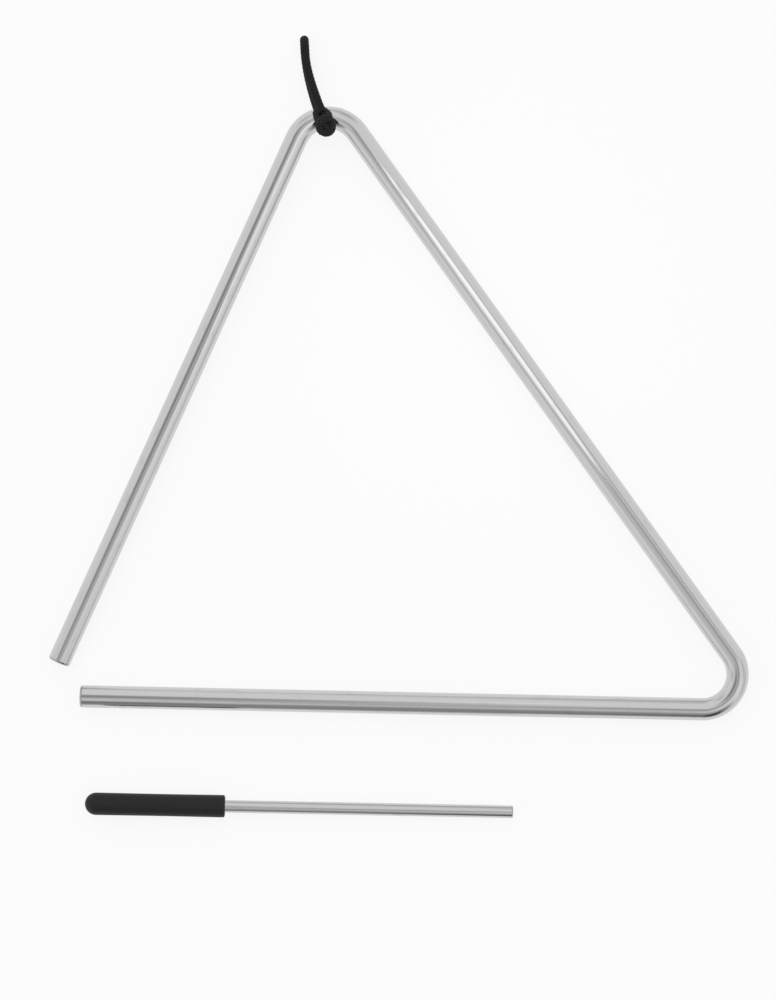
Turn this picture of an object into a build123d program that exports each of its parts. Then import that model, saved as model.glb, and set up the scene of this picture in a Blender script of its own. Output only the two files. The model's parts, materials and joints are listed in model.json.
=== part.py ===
"""Musical triangle with its hanging loop and beater, lying flat.

Units are millimetres. +X runs along the base of the triangle, +Y from the base to the crown and
+Z up from the surface that everything lies on. The origin is below the middle of the bar and beater.
"""

import os
from math import asin, cos, degrees, pi, radians, sin, tan

from build123d import *

os.makedirs("parts", exist_ok=True)

# Bent bar. A side runs from the corner where two centre lines would meet.
BAR_D = 8.0
BEND_R = 12.5
CROWN_ANGLE = 60.16
CORNER_ANGLE = 53.12
RIGHT_SIDE = 275.7
LEFT_SIDE = 227.0
BASE_SIDE = 247.2
BAR_END_R = 0.9

# Hanging loop. The cord passes between the bar and the surface below it.
CORD_D = 3.0
CORD_GAP = 0.2
FOLD_R = 3.0
FOLD_H = 6.4
LOOP_REACH = 30.0

# Knot that closes the loop, on the front of the bar. Its places are along the bar and out of the triangle.
KNOT_FOOT = (0.3, -3.1)
KNOT_FOOT_R = 3.4
KNOT_HEAD = (-0.85, 1.1)
KNOT_HEAD_R = 3.0
KNOT_SLOPE = 6.0
KNOT_GAP = 0.25

# Beater
ROD_D = 4.5
ROD_END_R = 0.5
GRIP_D = 8.0
GRIP_LENGTH = 50.0
GRIP_RIM_R = 0.7
GRIP_BLIND = 5.0
BEATER_LENGTH = 153.0
BEATER_FROM_BASE = 38.2
BEATER_FROM_CORNER = 244.7

bar_r = BAR_D / 2
cord_r = CORD_D / 2
rod_r = ROD_D / 2
grip_r = GRIP_D / 2

# Centre line of the bar, with the closed corner at 0, 0 and the base along -X
left_turn = radians(CORNER_ANGLE + CROWN_ANGLE)
bisector = radians(CORNER_ANGLE + CROWN_ANGLE / 2)
right_dir = Vector(-cos(radians(CORNER_ANGLE)), sin(radians(CORNER_ANGLE)))
left_dir = Vector(cos(left_turn), -sin(left_turn))
inward = Vector(cos(bisector), -sin(bisector))
along_crown = Vector(-inward.Y, inward.X)
crown_corner = right_dir * RIGHT_SIDE
left_end = crown_corner + left_dir * LEFT_SIDE
base_end = Vector(-BASE_SIDE, 0)
crown = crown_corner + inward * (BEND_R / sin(radians(CROWN_ANGLE / 2)) - BEND_R)

# The base lies on the surface and the crown lies on the cord, so the triangle leans a little.
crown_z = CORD_D + CORD_GAP + bar_r
lean = asin((crown_z - bar_r) / crown.Y)
lay_triangle = Pos(0, 0, bar_r) * Rot(X=degrees(lean))
seat = (lay_triangle * Pos(crown)).position

centre_line = FilletPolyline(left_end, crown_corner, Vector(0, 0), base_end, radius=BEND_R)
section = Plane(left_end, x_dir=(0, 0, 1), z_dir=-left_dir) * Circle(bar_r)
bar = sweep(section, path=centre_line)
cut_faces = bar.faces().filter_by(GeomType.PLANE)
bar = lay_triangle * fillet(cut_faces.edges(), BAR_END_R)


def at_crown(along, out, up):
    """Point given along the bar and out of the triangle, both from the crown, and up from the surface."""
    return Vector(seat.X, seat.Y, up) + along_crown * along - inward * out


def bend_radii(points, fixed):
    """Bend radius at each inner point: the one in fixed, or one that uses most of the shorter run."""
    radii = []
    for i in range(1, len(points) - 1):
        before = points[i] - points[i - 1]
        after = points[i + 1] - points[i]
        half_turn = radians(before.get_angle(after)) / 2
        radii.append(fixed.get(i, 0.45 * min(before.length, after.length) / tan(half_turn)))
    return radii


def knot_point(plan):
    """Point of the knot's axis above a place given along the bar and out of the triangle."""
    slope = radians(KNOT_SLOPE)
    clear = bar_r + KNOT_GAP + (KNOT_FOOT_R + KNOT_HEAD_R) / 2
    return at_crown(plan[0], plan[1], crown_z + clear / cos(slope) + plan[1] * tan(slope))


# Knot: two round ends joined by a taper
foot = knot_point(KNOT_FOOT)
head = knot_point(KNOT_HEAD)
knot_length = (head - foot).length
round_ends = Circle(KNOT_FOOT_R).edges() + (Pos(knot_length, 0) * Circle(KNOT_HEAD_R)).edges()
half = split(make_hull(round_ends), bisect_by=Plane.XZ, keep=Keep.BOTTOM)
knot = Plane(foot, x_dir=head - foot).location * revolve(half, Axis.X)

# Cord: from the knot's head to the fold, back along the surface, under the bar and up to the knot's foot
wrap_r = bar_r + CORD_GAP + cord_r
fold_out = LOOP_REACH - cord_r
loop_points = [
    head,
    at_crown(-3.3, 10.0, 12.3),
    at_crown(-5.0, 20.0, 9.4),
    at_crown(-4.5, fold_out, cord_r + FOLD_H),
    at_crown(-4.5, fold_out, cord_r),
    at_crown(-5.1, 19.0, cord_r),
    at_crown(-3.0, 5.5, cord_r),
    at_crown(0.2, -wrap_r, cord_r),
    at_crown(0.2, -wrap_r, crown_z + wrap_r),
]
loop_radii = bend_radii(loop_points, {3: FOLD_R, 4: FOLD_R, 7: wrap_r})
loop_path = FilletPolyline(*loop_points, radius=loop_radii)
tube = sweep(Plane(head, z_dir=loop_points[1] - head) * Circle(cord_r), path=loop_path)
loop = tube - knot

# Beater along +X from the grip's domed end, laid on the rim of the grip and the tip of the rod
rod = Pos((GRIP_BLIND + BEATER_LENGTH) / 2, 0, 0) * Rot(Y=90) * Cylinder(rod_r, BEATER_LENGTH - GRIP_BLIND)
rod = fillet(rod.edges().filter_by(GeomType.CIRCLE), ROD_END_R)
grip = Pos((grip_r + GRIP_LENGTH) / 2, 0, 0) * Rot(Y=90) * Cylinder(grip_r, GRIP_LENGTH - grip_r)
grip = grip + Pos(grip_r, 0, 0) * Sphere(grip_r)
mouth = grip.faces().filter_by(GeomType.PLANE).sort_by(Axis.X)[-1]
grip = fillet(mouth.edges(), GRIP_RIM_R) - rod
rest_span = (BEATER_LENGTH - ROD_END_R) - (GRIP_LENGTH - GRIP_RIM_R)
slope = asin((grip_r - rod_r) / rest_span)
tip_z = grip_r + (GRIP_LENGTH - GRIP_RIM_R) * sin(slope)
lay_beater = Pos(-BEATER_FROM_CORNER, -BEATER_FROM_BASE, tip_z) * Rot(Y=degrees(slope))

pieces = {
    "triangle_bar": bar,
    "hanging_loop": loop,
    "loop_knot": knot,
    "beater_rod": lay_beater * rod,
    "beater_grip": lay_beater * grip,
}

# The origin goes below the middle of the bar and the beater.
solid_names = ("triangle_bar", "beater_rod", "beater_grip")
box = Compound(children=[Solid(pieces[name].solid().wrapped) for name in solid_names]).bounding_box()
centred = Pos(-box.center().X, -box.center().Y, 0)
for name, piece in pieces.items():
    export_step(centred * piece, "parts/" + name + ".step")
    print(name, "volume", round(piece.volume, 1), "valid", piece.is_valid)

print("box", box.size, "bottom", round(box.min.Z, 4))
print("crown", (centred * Pos(seat)).position, "along", (lay_triangle * Pos(along_crown)).position - Vector(0, 0, bar_r))
print("lean", round(degrees(lean), 3), "beater slope", round(degrees(slope), 3))
print("left end", (centred * lay_triangle * Pos(left_end)).position)
print("base end", (centred * lay_triangle * Pos(base_end)).position)
print("beater dome", (centred * lay_beater).position, "tip", (centred * lay_beater * Pos(BEATER_LENGTH, 0, 0)).position)
print("cord length", round(loop_path.length, 2), "volume", round(tube.volume, 2))
print("section by length", round(pi * cord_r**2 * loop_path.length, 2), "radii", [round(r, 2) for r in loop_radii])
for point in loop_points:
    print("cord point", (centred * Pos(point)).position)
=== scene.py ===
"""Looks of a musical triangle with its hanging loop and its beater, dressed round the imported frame."""

import json
import logging
import math
from dataclasses import dataclass, field, replace
from enum import Enum
from typing import Iterator, Sequence

import bmesh
import bpy
from mathutils import Matrix, Vector


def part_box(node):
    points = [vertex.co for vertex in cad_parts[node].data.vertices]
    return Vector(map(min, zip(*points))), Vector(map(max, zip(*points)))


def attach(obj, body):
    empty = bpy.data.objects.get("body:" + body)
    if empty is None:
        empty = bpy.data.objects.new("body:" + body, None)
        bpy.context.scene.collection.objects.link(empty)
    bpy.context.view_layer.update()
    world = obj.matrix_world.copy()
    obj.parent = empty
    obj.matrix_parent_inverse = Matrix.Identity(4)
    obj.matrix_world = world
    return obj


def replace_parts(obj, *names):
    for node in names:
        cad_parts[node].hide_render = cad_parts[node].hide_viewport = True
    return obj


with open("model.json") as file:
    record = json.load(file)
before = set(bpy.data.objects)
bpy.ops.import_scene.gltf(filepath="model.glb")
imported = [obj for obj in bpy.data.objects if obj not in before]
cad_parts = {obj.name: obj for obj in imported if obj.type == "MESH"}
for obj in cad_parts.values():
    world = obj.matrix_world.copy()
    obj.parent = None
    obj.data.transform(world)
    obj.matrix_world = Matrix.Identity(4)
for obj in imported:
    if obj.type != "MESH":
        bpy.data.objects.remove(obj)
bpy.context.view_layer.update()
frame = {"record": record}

MM = 0.001
QUARTER = 0.5 * math.pi
START_DISC = 0.1 * MM
WHITE = (1.0, 1.0, 1.0, 1.0)
log = logging.getLogger("triangle")

Colour = tuple[float, float, float]
Place = tuple[float, float, float]
Span = tuple[float, float]


class Body(str, Enum):
    """Rigid bodies of the frame that pieces ride on."""

    TRIANGLE = "triangle"
    LOOP = "loop"
    BEATER = "beater"


class Slot(str, Enum):
    """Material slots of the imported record."""

    BAR = "bar_chrome"
    ROD = "rod_chrome"
    CORD = "loop_cord"
    GRIP = "grip_rubber"


class Layer(str, Enum):
    """Point attributes that the finishes read."""

    STRAIGHT = "straight"
    RELIEF = "relief"


class Sock:
    """A node socket that takes part in Python expressions."""

    def __init__(self, graph: "Graph", socket: bpy.types.NodeSocket) -> None:
        """Keeps the socket and the graph that new nodes go to."""
        self.graph = graph
        self.socket = socket

    def _math(self, operation: str, first: "Sock | float", second: "Sock | float") -> "Sock":
        """One Math node on two values."""
        return self.graph.node("ShaderNodeMath", {"operation": operation}, {0: first, 1: second})

    def __add__(self, other: "Sock | float") -> "Sock":
        """Sum."""
        return self._math("ADD", self, other)

    def __radd__(self, other: float) -> "Sock":
        """Sum with a number first."""
        return self._math("ADD", other, self)

    def __sub__(self, other: "Sock | float") -> "Sock":
        """Difference."""
        return self._math("SUBTRACT", self, other)

    def __rsub__(self, other: float) -> "Sock":
        """Difference with a number first."""
        return self._math("SUBTRACT", other, self)

    def __mul__(self, other: "Sock | float") -> "Sock":
        """Product."""
        return self._math("MULTIPLY", self, other)

    def __rmul__(self, other: float) -> "Sock":
        """Product with a number first."""
        return self._math("MULTIPLY", other, self)


class Graph:
    """Nodes of one material or world."""

    def __init__(self, owner: bpy.types.Material | bpy.types.World) -> None:
        """Starts an empty node tree.

        Args:
            owner: the material or world that it belongs to.
        """
        owner.use_nodes = True
        self.tree = owner.node_tree
        self.tree.nodes.clear()

    def node(
        self, kind: str, settings: dict | None = None, inputs: dict | None = None, output: int | str = 0
    ) -> Sock:
        """Adds one node.

        Args:
            kind: the node's type name.
            settings: properties of the node, which are set first.
            inputs: socket name or number to a value or a linked socket.
            output: the output that the result stands for.

        Returns:
            The chosen output, or the first input of a node that ends the tree.
        """
        made = self.tree.nodes.new(kind)
        for name, value in (settings or {}).items():
            setattr(made, name, value)
        for key, value in (inputs or {}).items():
            if isinstance(value, Sock):
                self.tree.links.new(value.socket, made.inputs[key])
            else:
                made.inputs[key].default_value = value
        return Sock(self, made.outputs[output] if made.outputs else made.inputs[0])

    def attribute(self, layer: Layer, output: str) -> Sock:
        """A point attribute of the piece."""
        return self.node("ShaderNodeAttribute", {"attribute_name": layer.value}, output=output)

    def stretched(self, vector: Sock, scale: Place) -> Sock:
        """A vector times a scale on each axis."""
        return self.node("ShaderNodeVectorMath", {"operation": "MULTIPLY"}, {0: vector, 1: scale})

    def noise(self, vector: Sock, scale: Place, detail: float = 2.0, roughness: float = 0.5) -> Sock:
        """Noise with its own scale on each axis.

        Args:
            vector: the place that it is read at.
            scale: its scale on each axis.
            detail: how many finer layers it has.
            roughness: how strong the finer layers are.

        Returns:
            The noise, from 0 to 1.
        """
        place = self.stretched(vector, scale)
        inputs = {"Vector": place, "Scale": 1.0, "Detail": detail, "Roughness": roughness}
        return self.node("ShaderNodeTexNoise", {}, inputs)

    def smooth(self, value: Sock, low: float, high: float) -> Sock:
        """Smooth step from 0 at low to 1 at high."""
        inputs = {"Value": value, "From Min": low, "From Max": high}
        return self.node("ShaderNodeMapRange", {"interpolation_type": "SMOOTHSTEP"}, inputs)

    def mix(self, share: Sock, first: Sock | Colour, second: Colour) -> Sock:
        """Colour between two colours.

        Args:
            share: 0 for the first colour and 1 for the second.
            first: a colour or a colour socket.
            second: a colour.

        Returns:
            The mixed colour.
        """
        start = first if isinstance(first, Sock) else (*first, 1.0)
        inputs = {"Factor": share, 6: start, 7: (*second, 1.0)}
        return self.node("ShaderNodeMix", {"data_type": "RGBA"}, inputs, output=2)

    def bump(self, height: Sock, distance: float, strength: float, normal: Sock | None = None) -> Sock:
        """Bump of a height.

        Args:
            height: the height, from 0 to 1.
            distance: what a height of 1 stands for.
            strength: how much of the bump shows.
            normal: another bump below this one.

        Returns:
            The bumped normal.
        """
        inputs = {"Height": height, "Distance": distance, "Strength": strength}
        if normal:
            inputs["Normal"] = normal
        return self.node("ShaderNodeBump", {}, inputs)

    def surface(self, shader: Sock) -> None:
        """Ends a material."""
        self.node("ShaderNodeOutputMaterial", {}, {"Surface": shader})


@dataclass(frozen=True)
class PlatedFinish:
    """Bright plating over drawn bar: lines along it, slow ripple, handling marks, dull cut ends and painted
    dark reflection at the ends.
    """

    name: str
    colour: Colour
    worn: Colour
    # colour over the rounded ends: a painted dark reflection, darker than the plating
    painted_rim_reflection: Colour
    roughness: float
    length: float
    rounding: float
    line_depth: float
    ripple_depth: float
    line_scale: Place = (2400.0, 2400.0, 7.0)
    line_height: float = 0.03 * MM
    line_dulling: float = 0.05
    ripple_scale: Place = (130.0, 130.0, 42.0)
    ripple_height: float = 0.6 * MM
    mark_scale: Place = (420.0, 420.0, 150.0)
    mark_span: Span = (0.56, 0.74)
    mark_share: float = 0.6
    mark_dulling: float = 0.07
    cut_span: Span = (0.05 * MM, 0.3 * MM)
    cut_dulling: float = 0.2
    cut_turning: float = 16000.0
    # where the painted dark reflection fades out, in shares of the rounding
    painted_rim_span: Span = (0.5, 1.3)

    def build(self) -> bpy.types.Material:
        """Makes the material.

        Returns:
            A material that reads each point's place on the straightened bar.
        """
        material = bpy.data.materials.new(self.name)
        graph = Graph(material)
        place = graph.attribute(Layer.STRAIGHT, "Vector")
        along = graph.node("ShaderNodeSeparateXYZ", {}, {0: place}, output="Z")
        lines = graph.noise(place, self.line_scale, detail=3.0, roughness=0.6)
        ripple = graph.noise(place, self.ripple_scale, detail=1.0)
        marks = graph.smooth(graph.noise(place, self.mark_scale, detail=4.0), *self.mark_span)
        ends = {0: along, 1: self.length - along}
        nearest_end = graph.node("ShaderNodeMath", {"operation": "MINIMUM"}, ends)
        cut = 1.0 - graph.smooth(nearest_end, *self.cut_span)
        # painted dark reflection: the base colour turns to the darker rim colour over each rounded end
        painted_rim_reflection = 1.0 - graph.smooth(nearest_end, *(share * self.rounding for share in self.painted_rim_span))
        plated = graph.mix(marks * self.mark_share, self.colour, self.worn)
        across = graph.stretched(place, (1.0, 1.0, 0.0))
        radius = graph.node("ShaderNodeVectorMath", {"operation": "LENGTH"}, {0: across}, output="Value")
        turned = graph.node("ShaderNodeMath", {"operation": "SINE"}, {0: radius * self.cut_turning}) * cut
        slow = graph.bump(ripple, self.ripple_height, self.ripple_depth)
        fine = graph.bump(lines + turned, self.line_height, self.line_depth, slow)
        dulled = self.roughness + lines * self.line_dulling + marks * self.mark_dulling
        inputs = {
            "Base Color": graph.mix(painted_rim_reflection, plated, self.painted_rim_reflection),
            "Metallic": 1.0,
            "Roughness": dulled + cut * self.cut_dulling,
            "Normal": fine,
        }
        graph.surface(graph.node("ShaderNodeBsdfPrincipled", {}, inputs))
        return material


@dataclass(frozen=True)
class CordFinish:
    """Matt black braid with loose fibre, painted darker in the gaps between strands as shade and paler on
    its rubbed crowns.
    """

    name: str
    # colour in the gaps of the braid: painted shade
    gap_shade: Colour = (0.002, 0.002, 0.0025)
    crown: Colour = (0.011, 0.011, 0.012)
    crown_span: Span = (0.1, 0.95)
    fibre_scale: Place = (9000.0, 9000.0, 9000.0)
    fibre_height: float = 0.06 * MM
    fibre_shade: Span = (0.55, 0.9)
    fibre_depth: float = 0.5
    roughness: float = 0.85
    crown_gloss: float = 0.2
    specular: float = 0.24
    sheen: float = 0.03
    sheen_roughness: float = 0.4

    def build(self) -> bpy.types.Material:
        """Makes the material.

        Returns:
            A material that reads the braid's height on the points.
        """
        material = bpy.data.materials.new(self.name)
        graph = Graph(material)
        height = graph.attribute(Layer.RELIEF, "Fac")
        place = graph.node("ShaderNodeTexCoord", {}, output="Object")
        fibre = graph.noise(place, self.fibre_scale, detail=3.0, roughness=0.7)
        base, swing = self.fibre_shade
        # painted shade: the gaps take the darker colour, the crowns the paler rubbed one
        shade = graph.smooth(height, *self.crown_span) * (base + fibre * swing)
        inputs = {
            "Base Color": graph.mix(shade, self.gap_shade, self.crown),
            "Roughness": self.roughness - height * self.crown_gloss,
            "Specular IOR Level": self.specular,
            "Sheen Weight": self.sheen,
            "Sheen Roughness": self.sheen_roughness,
            "Normal": graph.bump(fibre, self.fibre_height, self.fibre_depth),
        }
        graph.surface(graph.node("ShaderNodeBsdfPrincipled", {}, inputs))
        return material


@dataclass(frozen=True)
class GripFinish:
    """Satin black dip-moulded sleeve with a fine grain, faint flow and scuffs."""

    name: str
    colour: Colour = (0.0085, 0.0085, 0.009)
    dusty: Colour = (0.018, 0.018, 0.0185)
    grain_scale: Place = (5200.0, 5200.0, 5200.0)
    grain_height: float = 0.05 * MM
    grain_depth: float = 0.25
    grain_dulling: float = 0.12
    flow_scale: Place = (210.0, 210.0, 120.0)
    flow_height: float = 0.8 * MM
    flow_depth: float = 0.12
    flow_dust: float = 0.3
    scuff_scale: Place = (900.0, 900.0, 300.0)
    scuff_span: Span = (0.55, 0.75)
    scuff_dust: float = 0.6
    scuff_dulling: float = 0.15
    roughness: float = 0.5
    specular: float = 0.32

    def build(self) -> bpy.types.Material:
        """Makes the material.

        Returns:
            A material that reads each point's place on the straightened sleeve.
        """
        material = bpy.data.materials.new(self.name)
        graph = Graph(material)
        place = graph.attribute(Layer.STRAIGHT, "Vector")
        grain = graph.noise(place, self.grain_scale)
        flow = graph.noise(place, self.flow_scale)
        scuffs = graph.smooth(graph.noise(place, self.scuff_scale, detail=4.0), *self.scuff_span)
        dust = scuffs * self.scuff_dust + flow * self.flow_dust
        slow = graph.bump(flow, self.flow_height, self.flow_depth)
        inputs = {
            "Base Color": graph.mix(dust, self.colour, self.dusty),
            "Roughness": self.roughness + grain * self.grain_dulling + scuffs * self.scuff_dulling,
            "Specular IOR Level": self.specular,
            "Normal": graph.bump(grain, self.grain_height, self.grain_depth, slow),
        }
        graph.surface(graph.node("ShaderNodeBsdfPrincipled", {}, inputs))
        return material


@dataclass(frozen=True)
class PaperFinish:
    """White paper that keeps a soft shadow and shows white to the camera and in the metal."""

    name: str
    paper: Colour = (0.88, 0.88, 0.88)
    glow: float = 0.86

    def build(self) -> bpy.types.Material:
        """Makes the material.

        Returns:
            A material for the floor.
        """
        material = bpy.data.materials.new(self.name)
        graph = Graph(material)
        lit = graph.node("ShaderNodeBsdfDiffuse", {}, {"Color": (*self.paper, 1.0)})
        white = graph.node("ShaderNodeEmission", {}, {"Strength": 1.0})
        shown = seen_ray(graph) * self.glow
        graph.surface(graph.node("ShaderNodeMixShader", {}, {0: shown, 1: lit, 2: white}))
        return material


def seen_ray(graph: Graph) -> Sock:
    """Tells the rays that show a surface from those that only light it.

    Args:
        graph: the nodes that ask.

    Returns:
        1 for a ray from the camera or from a mirror or glass, else 0.
    """
    kinds = ("Is Camera Ray", "Is Glossy Ray", "Is Transmission Ray")
    camera, glossy, clear = (graph.node("ShaderNodeLightPath", output=kind) for kind in kinds)
    return camera + glossy + clear


@dataclass(frozen=True)
class Braid:
    """Relief of a braided cord: strands that wind both ways and pass over and under each other."""

    strands: int
    stitch: float
    dip: float = 0.45

    def height(self, angle: float, along: float) -> float:
        """Height of the surface.

        Args:
            angle: place round the cord.
            along: place along the cord.

        Returns:
            A height from 0 in the gaps to 1 on the crowns.
        """
        turn = self.strands * angle / (2.0 * math.pi)
        climb = along / self.stitch
        right, left = turn + climb, turn - climb
        over_right = (math.floor(right) + math.floor(left)) % 2 == 0
        across, length = (right, left) if over_right else (left, right)
        width = math.sin(math.pi * (across % 1.0))
        arch = math.sin(math.pi * (length % 1.0))
        return math.sqrt(width) * (self.dip + (1.0 - self.dip) * arch)


def quarter_turn(steps: int) -> Iterator[Span]:
    """The angles before and after each step of a quarter turn."""
    for step in range(steps):
        yield QUARTER * step / steps, QUARTER * (step + 1) / steps


class RingSweep:
    """A round surface grown ring by ring, which keeps each point's place on the straightened piece."""

    start_face: tuple[float, ...] = (0.5, 0.97, 1.0)
    end_face: tuple[float, ...] = (0.97, 0.5, 0.05)

    def __init__(self, start: Matrix, radius: float, sides: int) -> None:
        """Starts from one closed disc.

        Args:
            start: frame of the ring, with Z along the piece.
            radius: radius of the disc.
            sides: points in the ring.
        """
        self.bm = bmesh.new()
        self.place = self.bm.verts.layers.float_vector.new(Layer.STRAIGHT.value)
        self.frame = start.copy()
        self.radius = radius
        self.along = 0.0
        disc = bmesh.ops.create_circle(
            self.bm, cap_ends=True, segments=sides, radius=radius, matrix=start
        )
        self.edges = list(self.bm.edges)
        self._stamp(disc["verts"])

    def _stamp(self, ring: Sequence[bmesh.types.BMVert]) -> None:
        """Writes the straightened place of each point of a ring.

        Args:
            ring: the points.
        """
        to_ring = self.frame.inverted()
        for vert in ring:
            local = to_ring @ vert.co
            vert[self.place] = Vector((local.x, local.y, self.along))

    def advance(self, move: Matrix, length: float, radius: float | None = None) -> None:
        """Grows one ring.

        Args:
            move: turn and shift of the new ring.
            length: how far it lies along the piece from the last one.
            radius: its radius, where that changes.
        """
        grown = bmesh.ops.extrude_edge_only(self.bm, edges=self.edges)["geom"]
        ring = [part for part in grown if isinstance(part, bmesh.types.BMVert)]
        inside = set(ring)
        edges = [part for part in grown if isinstance(part, bmesh.types.BMEdge)]
        self.edges = [edge for edge in edges if inside.issuperset(edge.verts)]
        self.frame = move @ self.frame
        self.along += length
        bmesh.ops.transform(self.bm, matrix=move, verts=ring)
        if radius is not None:
            share = radius / self.radius
            scale = self.frame @ Matrix.Diagonal((share, share, 1.0, 1.0)) @ self.frame.inverted()
            bmesh.ops.transform(self.bm, matrix=scale, verts=ring)
            self.radius = radius
        self._stamp(ring)

    def straight(self, length: float, radius: float | None = None) -> None:
        """Grows along the ring's own axis, to a new radius where given."""
        shift = self.frame.to_3x3() @ Vector((0.0, 0.0, length))
        self.advance(Matrix.Translation(shift), length, radius)

    def bend(self, inward: Vector, axis: Vector, bend_radius: float, angle: float, steps: int) -> None:
        """Grows round a bend.

        Args:
            inward: direction from the ring to the middle of the bend.
            axis: direction that the bend turns about.
            bend_radius: radius of the bend's centre line.
            angle: turn in radians.
            steps: rings over the bend.
        """
        about = Matrix.Translation(self.frame.translation + inward * bend_radius)
        turn = about @ Matrix.Rotation(angle / steps, 4, axis) @ about.inverted()
        for _ in range(steps):
            self.advance(turn, bend_radius * abs(angle) / steps)

    def follow(self, route: Sequence[Vector]) -> None:
        """Grows along points, without twist.

        Args:
            route: points from the first ring's middle on.
        """
        for before, here, after in zip(route, route[1:], [*route[2:], route[-1]]):
            old = self.frame.to_3x3()
            turn = old.col[2].rotation_difference(after - before).to_matrix()
            new = (turn @ old).to_4x4()
            new.translation = here
            self.advance(new @ self.frame.inverted(), (here - before).length)

    def square_start(self, full: float, rounding: float, steps: int = 6) -> None:
        """Begins with a flat cut face that has a rounded edge.

        Args:
            full: radius of the piece.
            rounding: radius of the edge.
            steps: rings over the edge.
        """
        for share in self.start_face:
            self.straight(0.0, (full - rounding) * share)
        for before, now in quarter_turn(steps):
            rise = rounding * (math.cos(before) - math.cos(now))
            self.straight(rise, full - rounding * (1.0 - math.sin(now)))

    def square_end(self, rounding: float, steps: int = 6) -> None:
        """Ends with a rounded edge and a flat cut face.

        Args:
            rounding: radius of the edge.
            steps: rings over the edge.
        """
        full = self.radius
        for before, now in quarter_turn(steps):
            rise = rounding * (math.sin(now) - math.sin(before))
            self.straight(rise, full - rounding * (1.0 - math.cos(now)))
        for share in self.end_face:
            self.straight(0.0, (full - rounding) * share)
        self.close()

    def close(self) -> None:
        """Closes the last ring with one face."""
        bmesh.ops.contextual_create(self.bm, geom=self.edges)

    def emboss(self, braid: Braid, depth: float) -> None:
        """Raises the surface by a braid, whose height stays on the points.

        Args:
            braid: the relief.
            depth: how far its crowns stand over its gaps.
        """
        bmesh.ops.recalc_face_normals(self.bm, faces=self.bm.faces)
        self.bm.normal_update()
        layer = self.bm.verts.layers.float.new(Layer.RELIEF.value)
        for vert in self.bm.verts:
            across = vert[self.place]
            vert[layer] = braid.height(math.atan2(across.y, across.x), across.z)
        for vert in self.bm.verts:
            vert.co += vert.normal * (vert[layer] * depth)

    def finish(self, name: str, material: bpy.types.Material, body: Body, slot: Slot) -> bpy.types.Object:
        """Makes the piece.

        Args:
            name: its name.
            material: its finish.
            body: the body that it rides on.
            slot: the record's slot for its finish; not used.

        Returns:
            The piece, at the origin with its place in its mesh.
        """
        bmesh.ops.recalc_face_normals(self.bm, faces=self.bm.faces)
        for face in self.bm.faces:
            face.smooth = True
        mesh = bpy.data.meshes.new(name)
        self.bm.to_mesh(mesh)
        self.bm.free()
        mesh.materials.append(material)
        piece = bpy.data.objects.new(name, mesh)
        bpy.context.scene.collection.objects.link(piece)
        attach(piece, body.value)
        log.info("%s: %d faces", name, len(mesh.polygons))
        return piece


def ring_frame(origin: Vector, along: Vector) -> Matrix:
    """Frame of a ring.

    Args:
        origin: its middle.
        along: the direction of the piece there, which becomes Z.

    Returns:
        The frame, with no turn about the direction beyond the shortest one.
    """
    turned = Vector((0.0, 0.0, 1.0)).rotation_difference(along).to_matrix().to_4x4()
    turned.translation = origin
    return turned


def spline_route(points: Sequence[Place], resolution: int) -> list[Vector]:
    """Reads points along a smooth spline.

    Args:
        points: control points of the spline.
        resolution: points to read for each of its spans.

    Returns:
        Points along the spline, in order.
    """
    curve = bpy.data.curves.new("route", "CURVE")
    curve.dimensions = "3D"
    curve.resolution_u = resolution
    spline = curve.splines.new("NURBS")
    spline.points.add(len(points) - 1)
    for point, place in zip(spline.points, points):
        point.co = (*place, 1.0)
    spline.order_u = 3
    spline.use_endpoint_u = True
    holder = bpy.data.objects.new("route", curve)
    line = bpy.data.meshes.new_from_object(holder)
    route = [vert.co.copy() for vert in line.vertices]
    bpy.data.meshes.remove(line)
    bpy.data.objects.remove(holder)
    bpy.data.curves.remove(curve)
    return route


def joint_of(child: Body) -> dict:
    """The frame's joint that moves a body."""
    return next(j for j in frame["record"]["behaviour"]["joints"] if j["child"] == child.value)


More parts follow.
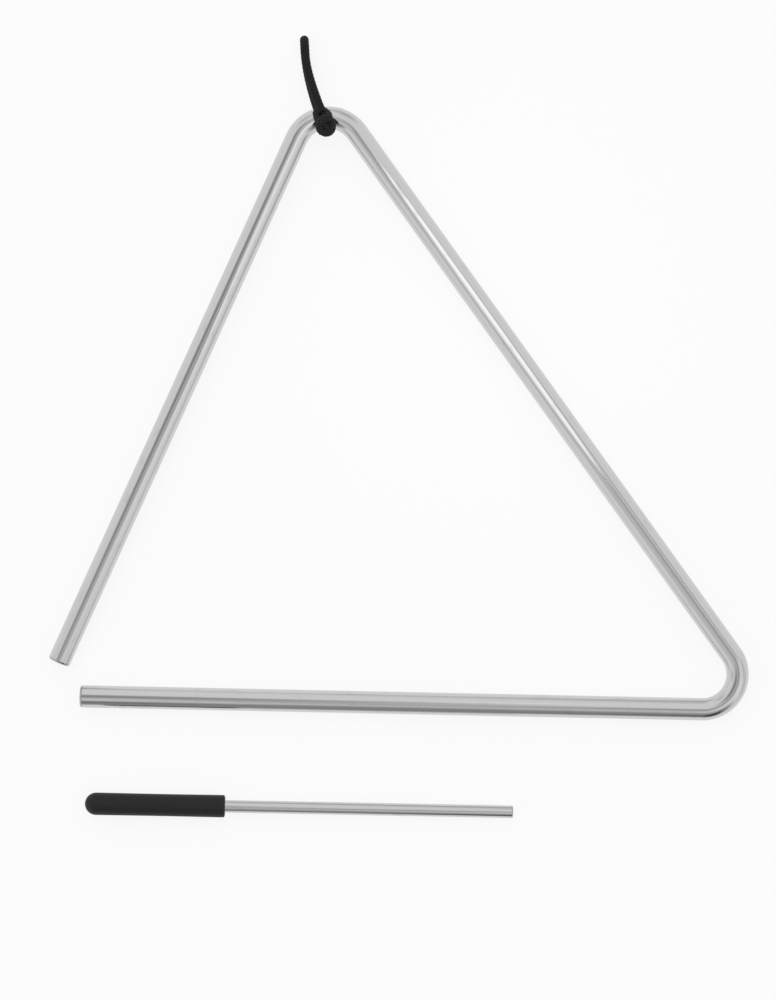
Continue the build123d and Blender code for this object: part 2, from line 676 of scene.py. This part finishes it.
@dataclass
class TriangleBar:
    """The bent bar, from its left end over the crown and the closed corner to the end of its base."""

    radius: float = 4.0 * MM
    bend_radius: float = 12.5 * MM
    crown_angle: float = math.radians(60.16)
    corner_angle: float = math.radians(53.12)
    right_side: float = 275.7 * MM
    left_side: float = 227.0 * MM
    base_side: float = 247.2 * MM
    end_rounding: float = 0.9 * MM
    sides: int = 112
    bend_steps: int = 72

    def _lay(self) -> Matrix:
        """Lays the bar down.

        Returns:
            The place of the closed corner, with the lean of the bar on the cord below its crown.
        """
        low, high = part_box("triangle_bar")
        reach = self.bend_radius / math.tan(self.corner_angle / 2.0)
        corner = Vector((high.x - self.radius - self.bend_radius + reach, low.y + self.radius, self.radius))
        crown = Vector(joint_of(Body.LOOP)["pos_m"]) - corner
        lean = math.atan2(crown.z, crown.y)
        return Matrix.Translation(corner) @ Matrix.Rotation(lean, 4, "X")

    def build(self) -> bpy.types.Object:
        """Sweeps the bar and plates it.

        Returns:
            The bar.
        """
        lay = self._lay()
        turn = lay.to_3x3()
        up = turn @ Vector((0.0, 0.0, 1.0))
        right = Vector((-math.cos(self.corner_angle), math.sin(self.corner_angle), 0.0))
        down = Matrix.Rotation(math.pi - self.crown_angle, 3, "Z") @ right
        left_end = lay @ (right * self.right_side + down * self.left_side)
        at_crown = self.bend_radius / math.tan(self.crown_angle / 2.0)
        at_corner = self.bend_radius / math.tan(self.corner_angle / 2.0)
        sweep = RingSweep(ring_frame(left_end, turn @ -down), START_DISC, self.sides)
        sweep.square_start(self.radius, self.end_rounding)
        sweep.straight(self.left_side - at_crown - self.end_rounding)
        self._bend(sweep, up, self.crown_angle)
        sweep.straight(self.right_side - at_crown - at_corner)
        self._bend(sweep, up, self.corner_angle)
        sweep.straight(self.base_side - at_corner - self.end_rounding)
        sweep.square_end(self.end_rounding)
        finish = PlatedFinish(
            name="plated_bar",
            colour=(0.61, 0.61, 0.615),
            worn=(0.54, 0.54, 0.545),
            # painted dark reflection over the rounded ends
            painted_rim_reflection=(0.40, 0.40, 0.405),
            roughness=0.12,
            length=sweep.along,
            rounding=self.end_rounding,
            line_depth=0.05,
            ripple_depth=0.05,
        )
        bar = sweep.finish("bent_bar", finish.build(), Body.TRIANGLE, Slot.BAR)
        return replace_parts(bar, "triangle_bar")

    def _bend(self, sweep: RingSweep, up: Vector, angle: float) -> None:
        """Bends the bar to the right, to leave an angle between its two sides."""
        along = sweep.frame.to_3x3().col[2]
        sweep.bend(along.cross(up), up, self.bend_radius, angle - math.pi, self.bend_steps)


@dataclass
class HangingLoop:
    """Braided cord round the crown, folded back on itself and closed by a knot on the front of the bar."""

    diameter: float = 3.0 * MM
    length: float = 75.0 * MM
    relief: float = 0.22 * MM
    sides: int = 56
    knot_radius: float = 1.4 * MM
    strands: int = 8
    knot_strands: int = 7
    # paler crown colour for the knot: painted light that makes up for the shade between its turns
    knot_crown_painted_light: Colour = (0.021, 0.021, 0.022)
    stitch: float = 1.5 * MM
    route_steps: int = 64
    knot_steps: int = 26
    # From the knot's head to the fold, back on the surface, below the bar and up to the knot's foot
    route: list[Place] = field(
        default_factory=lambda: [
            (-0.0314241, 0.124125, 0.0148067),
            (-0.0349106, 0.132672, 0.0123),
            (-0.0377827, 0.1424, 0.0094),
            (-0.0385, 0.1511, 0.0079),
            (-0.0385, 0.1511, 0.0015),
            (-0.0377636, 0.141396, 0.0015),
            (-0.0340799, 0.128239, 0.0015),
            (-0.0295763, 0.1180, 0.0015),
            (-0.0295763, 0.1178, 0.0129),
        ]
    )
    # In mm along the bar, out of the triangle and up, from the bar's axis at the crown
    knot_turns: list[Place] = field(
        default_factory=lambda: [
            (-1.94, 4.81, 6.2),
            (-0.64, 1.67, 6.9),
            (1.05, -0.85, 6.9),
            (2.45, -3.10, 6.6),
            (1.70, -5.60, 6.0),
            (-0.45, -6.15, 6.2),
            (-2.40, -4.70, 7.2),
            (-1.83, -2.05, 8.8),
            (0.35, -1.05, 9.6),
            (1.55, -0.85, 8.6),
            (0.75, 1.15, 6.4),
            (-1.70, 2.50, 5.4),
            (-2.95, 1.60, 6.0),
            (-2.45, -1.20, 7.2),
            (-0.41, -3.17, 7.4),
            (0.55, -4.68, 6.6),
            (0.30, -5.25, 4.6),
            (0.20, -5.35, 2.5),
        ]
    )

    def build(self) -> bpy.types.Object:
        """Makes the cord and its knot.

        Returns:
            The cord.
        """
        loose = CordFinish(name="braided_cord")
        # the knot's copy of the cord finish has paler crowns, painted light against the shade between its
        # turns
        painted_lighter_cord = replace(loose, name="cord_painted_lighter", crown=self.knot_crown_painted_light)
        route = spline_route(self.route, self.route_steps)
        cord_radius = (self.diameter - self.relief) / 2.0
        cord = self._tube("loop_cord", route, cord_radius, self.strands, loose.build())
        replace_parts(cord, "hanging_loop")
        turns = spline_route([tuple(self._from_crown(turn)) for turn in self.knot_turns], self.knot_steps)
        turn_radius = self.knot_radius - self.relief / 2.0
        knot = self._tube("cord_knot", turns, turn_radius, self.knot_strands, painted_lighter_cord.build())
        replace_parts(knot, "loop_knot")
        return cord

    def _from_crown(self, turn: Place) -> Vector:
        """Finds a point of the knot.

        Args:
            turn: its place in mm along the bar, out of the triangle and up, from the bar's axis.

        Returns:
            The point in the frame.
        """
        joint = joint_of(Body.LOOP)
        along = Vector((*joint["axis"][:2], 0.0)).normalized()
        out = Vector((-along.y, along.x, 0.0))
        up = Vector((0.0, 0.0, 1.0))
        return Vector(joint["pos_m"]) + (along * turn[0] + out * turn[1] + up * turn[2]) * MM

    def _tube(
        self, name: str, route: Sequence[Vector], radius: float, strands: int, material: bpy.types.Material
    ) -> bpy.types.Object:
        """Makes a braided tube.

        Args:
            name: name of the piece.
            route: points that it follows.
            radius: radius in the gaps of the braid.
            strands: strands that wind each way.
            material: its finish.

        Returns:
            The tube.
        """
        sweep = RingSweep(ring_frame(route[0], route[1] - route[0]), radius, self.sides)
        sweep.follow(route)
        sweep.close()
        sweep.emboss(Braid(strands=strands, stitch=self.stitch), self.relief)
        return sweep.finish(name, material, Body.LOOP, Slot.CORD)


@dataclass
class Beater:
    """Thin plated rod in a black domed sleeve, resting on the sleeve's mouth and the rod's tip."""

    rod_radius: float = 2.25 * MM
    rod_rounding: float = 0.5 * MM
    grip_radius: float = 4.0 * MM
    grip_length: float = 50.0 * MM
    rim_rounding: float = 0.7 * MM
    blind: float = 5.0 * MM
    length: float = 153.0 * MM
    barrel_slack: float = 0.06 * MM
    bore_play: float = 0.02 * MM
    mouth_rings: tuple[Span, ...] = (
        (0.0, 0.15 * MM),
        (0.06 * MM, 0.03 * MM),
        (0.15 * MM, 0.0),
        (2.0 * MM, 0.0),
    )
    sides: int = 96
    dome_steps: int = 20
    barrel_steps: int = 40
    rim_steps: int = 8

    def _ring(self, along: float) -> Matrix:
        """Frame of a ring of the beater.

        Args:
            along: its distance from the domed end.

        Returns:
            The frame, with Z along the beater.
        """
        low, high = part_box("beater_grip")
        rest_span = (self.length - self.rod_rounding) - (self.grip_length - self.rim_rounding)
        slope = math.asin((self.grip_radius - self.rod_radius) / rest_span)
        height = self.grip_radius + (self.grip_length - self.rim_rounding) * math.sin(slope)
        lay = Matrix.Translation((low.x, (low.y + high.y) / 2.0, height)) @ Matrix.Rotation(slope, 4, "Y")
        return lay @ Matrix.Translation((along, 0.0, 0.0)) @ Matrix.Rotation(QUARTER, 4, "Y")

    def build_rod(self) -> bpy.types.Object:
        """Makes the rod.

        Returns:
            The rod.
        """
        sweep = RingSweep(self._ring(self.blind), START_DISC, self.sides)
        sweep.square_start(self.rod_radius, self.rod_rounding)
        sweep.straight(self.length - self.blind - 2.0 * self.rod_rounding)
        sweep.square_end(self.rod_rounding)
        finish = PlatedFinish(
            name="plated_rod",
            colour=(0.60, 0.60, 0.605),
            worn=(0.52, 0.52, 0.525),
            # painted dark reflection over the rounded ends
            painted_rim_reflection=(0.42, 0.42, 0.425),
            roughness=0.14,
            length=sweep.along,
            rounding=self.rod_rounding,
            line_depth=0.08,
            ripple_depth=0.02,
        )
        rod = sweep.finish("striking_rod", finish.build(), Body.BEATER, Slot.ROD)
        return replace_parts(rod, "beater_rod")

    def build_grip(self) -> bpy.types.Object:
        """Makes the sleeve: its dome, its barrel, its rounded mouth and the bore round the rod.

        Returns:
            The sleeve.
        """
        sweep = RingSweep(self._ring(0.0), START_DISC / 2.0, self.sides)
        for before, now in quarter_turn(self.dome_steps):
            rise = self.grip_radius * (math.cos(before) - math.cos(now))
            sweep.straight(rise, self.grip_radius * math.sin(now))
        barrel = self.grip_length - self.grip_radius - self.rim_rounding
        for step in range(1, self.barrel_steps + 1):
            sweep.straight(barrel / self.barrel_steps, self._barrel_radius(step / self.barrel_steps))
        face = self.grip_radius - self.rim_rounding
        for before, now in quarter_turn(self.rim_steps):
            rise = self.rim_rounding * (math.sin(now) - math.sin(before))
            sweep.straight(rise, face + self.rim_rounding * math.cos(now))
        bore = self.rod_radius + self.bore_play
        for deeper, wider in self.mouth_rings:
            sweep.straight(-deeper, bore + wider)
        sweep.straight(0.0, 2.0 * START_DISC)
        sweep.close()
        material = GripFinish(name="dipped_sleeve").build()
        grip = sweep.finish("handle_sleeve", material, Body.BEATER, Slot.GRIP)
        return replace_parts(grip, "beater_grip")

    def _barrel_radius(self, share: float) -> float:
        """Radius of the sleeve a share of the way down its barrel, a little slack in the middle."""
        return self.grip_radius - self.barrel_slack * math.sin(math.pi * share) ** 2


@dataclass(frozen=True)
class Patch:
    """A soft round patch of the room, darker or brighter than the rest, with its angles in degrees."""

    name: str
    azimuth: float
    from_zenith: float
    reach: float
    gain: float
    core: float = 0.15

    def aim(self) -> Place:
        """Direction of its middle."""
        round_z, down = math.radians(self.azimuth), math.radians(self.from_zenith)
        return math.cos(round_z) * math.sin(down), math.sin(round_z) * math.sin(down), math.cos(down)


@dataclass(frozen=True)
class Lamp:
    """A round or oval lamp that the camera doesn't see, with a turn about the way it faces."""

    name: str
    place: Place
    aim: Place
    width: float
    length: float
    energy: float
    mirrored: bool
    spread: float = math.pi
    turn: float = 0.0

    def hang(self) -> None:
        """Hangs the lamp, turned to the point that it faces."""
        data = bpy.data.lights.new(self.name, "AREA")
        data.shape = "ELLIPSE"
        data.size = self.width
        data.size_y = self.length
        data.energy = self.energy
        data.spread = self.spread
        lamp = bpy.data.objects.new(self.name, data)
        lamp.location = self.place
        facing = (Vector(self.aim) - Vector(self.place)).to_track_quat("-Z", "Y")
        lamp.rotation_euler = (facing.to_matrix() @ Matrix.Rotation(self.turn, 3, "Z")).to_euler()
        lamp.visible_camera = False
        lamp.visible_glossy = self.mirrored
        bpy.context.scene.collection.objects.link(lamp)


@dataclass
class Studio:
    """White paper, soft light from all round and a camera straight above."""

    view_centre: Place = (-5.194 * MM, -12.567 * MM, 5.0 * MM)
    view_height: float = 357.14 * MM
    lens: float = 120.0
    sensor: float = 36.0
    far_limit: float = 20.0
    roll: float = math.radians(1.195)
    floor_size: float = 8.0
    backdrop: float = 0.957
    room_level: float = 0.935
    darkest: float = 0.05
    lamps: tuple[Lamp, ...] = (
        Lamp(
            "wide_lamp",
            place=(-0.5, 0.7, 1.6),
            aim=(0.0, 0.0, 0.0),
            width=1.4,
            length=1.4,
            energy=7.0,
            mirrored=False,
        ),
        Lamp(
            "long_lamp",
            place=(0.029, 0.052, 0.15),
            aim=(0.029, 0.052, 0.0),
            width=0.13,
            length=0.15,
            energy=0.0053,
            mirrored=True,
            spread=math.radians(66.0),
            turn=math.radians(36.9),
        ),
    )
    patches: tuple[Patch, ...] = (
        Patch("overhead_west", azimuth=165.0, from_zenith=19.0, reach=22.0, gain=-0.6),
        Patch("overhead_east", azimuth=335.0, from_zenith=10.0, reach=12.0, gain=-0.5),
        Patch("overhead_south", azimuth=262.0, from_zenith=18.0, reach=15.0, gain=-0.35),
        Patch("south_wall", azimuth=275.0, from_zenith=70.0, reach=48.0, gain=-0.6),
        Patch("corner_flag", azimuth=288.0, from_zenith=72.0, reach=15.0, gain=-0.5),
        Patch("south_west_flag", azimuth=220.0, from_zenith=36.0, reach=15.0, gain=-0.25),
        Patch("north_east_flag", azimuth=25.0, from_zenith=30.0, reach=10.0, gain=-0.4),
        Patch("east_card", azimuth=335.0, from_zenith=38.0, reach=14.0, gain=0.12),
        Patch("east_wall", azimuth=345.0, from_zenith=90.0, reach=28.0, gain=-0.25),
        Patch("north_wall", azimuth=75.0, from_zenith=82.0, reach=28.0, gain=-0.25),
    )
    post: Patch = Patch("post", azimuth=5.0, from_zenith=60.0, reach=16.0, gain=-0.25)
    posts: int = 6

    def build(self) -> None:
        """Makes the floor, the light and the camera."""
        self._floor()
        self._sky()
        for lamp in self.lamps:
            lamp.hang()
        self._camera()
        bpy.context.scene.view_settings.view_transform = "Standard"

    def _floor(self) -> None:
        """Lays the paper at the height that everything lies on."""
        bm = bmesh.new()
        bmesh.ops.create_grid(bm, x_segments=1, y_segments=1, size=self.floor_size / 2.0)
        mesh = bpy.data.meshes.new("paper_floor")
        bm.to_mesh(mesh)
        bm.free()
        mesh.materials.append(PaperFinish(name="white_paper").build())
        floor = bpy.data.objects.new("paper_floor", mesh)
        bpy.context.scene.collection.objects.link(floor)

    def _sky(self) -> None:
        """Lights the scene from all round, with a few darker and brighter places to show in the metal."""
        world = bpy.data.worlds.new("soft_room")
        graph = Graph(world)
        towards = graph.node("ShaderNodeTexCoord", {}, output="Generated")
        level = self.room_level
        for patch in (*self.patches, *self._posts()):
            level = self._patch(graph, towards, patch) * patch.gain + level
        level = graph.node("ShaderNodeMath", {"operation": "MAXIMUM"}, {0: level, 1: self.darkest})
        room = graph.node("ShaderNodeBackground", {}, {"Color": WHITE, "Strength": level})
        white = graph.node("ShaderNodeBackground", {}, {"Color": WHITE, "Strength": self.backdrop})
        seen = graph.node("ShaderNodeLightPath", output="Is Camera Ray")
        both = graph.node("ShaderNodeMixShader", {}, {0: seen, 1: room, 2: white})
        graph.node("ShaderNodeOutputWorld", {}, {"Surface": both})
        bpy.context.scene.world = world

    def _posts(self) -> list[Patch]:
        """Dark posts at even steps round the room."""
        step = 360.0 / self.posts
        return [replace(self.post, azimuth=self.post.azimuth + step * n) for n in range(self.posts)]

    @staticmethod
    def _patch(graph: Graph, towards: Sock, patch: Patch) -> Sock:
        """A soft round patch of the room.

        Args:
            graph: the world's nodes.
            towards: the direction that is looked at.
            patch: the patch.

        Returns:
            1 in the patch and 0 outside.
        """
        settings = {"operation": "DOT_PRODUCT", "label": patch.name}
        facing = graph.node("ShaderNodeVectorMath", settings, {0: towards, 1: patch.aim()}, output="Value")
        reach = math.radians(patch.reach)
        return graph.smooth(facing, math.cos(reach), math.cos(patch.core * reach))

    def _camera(self) -> None:
        """Puts the camera above the middle of the view."""
        data = bpy.data.cameras.new("camera")
        data.lens = self.lens
        data.sensor_width = self.sensor
        data.clip_end = self.far_limit
        camera = bpy.data.objects.new("camera", data)
        rise = self.view_height * self.lens / self.sensor
        camera.location = Vector(self.view_centre) + Vector((0.0, 0.0, rise))
        camera.rotation_euler = (0.0, 0.0, self.roll)
        bpy.context.scene.collection.objects.link(camera)
        bpy.context.scene.camera = camera


def main() -> None:
    """Builds the pieces and the studio."""
    logging.basicConfig(level=logging.INFO)
    bar = TriangleBar().build()
    log.info("bar: %s", bar.name)
    loop = HangingLoop().build()
    log.info("loop: %s", loop.name)
    beater = Beater()
    log.info("beater: %s, %s", beater.build_rod().name, beater.build_grip().name)
    Studio().build()


if __name__ == "__main__":
    main()
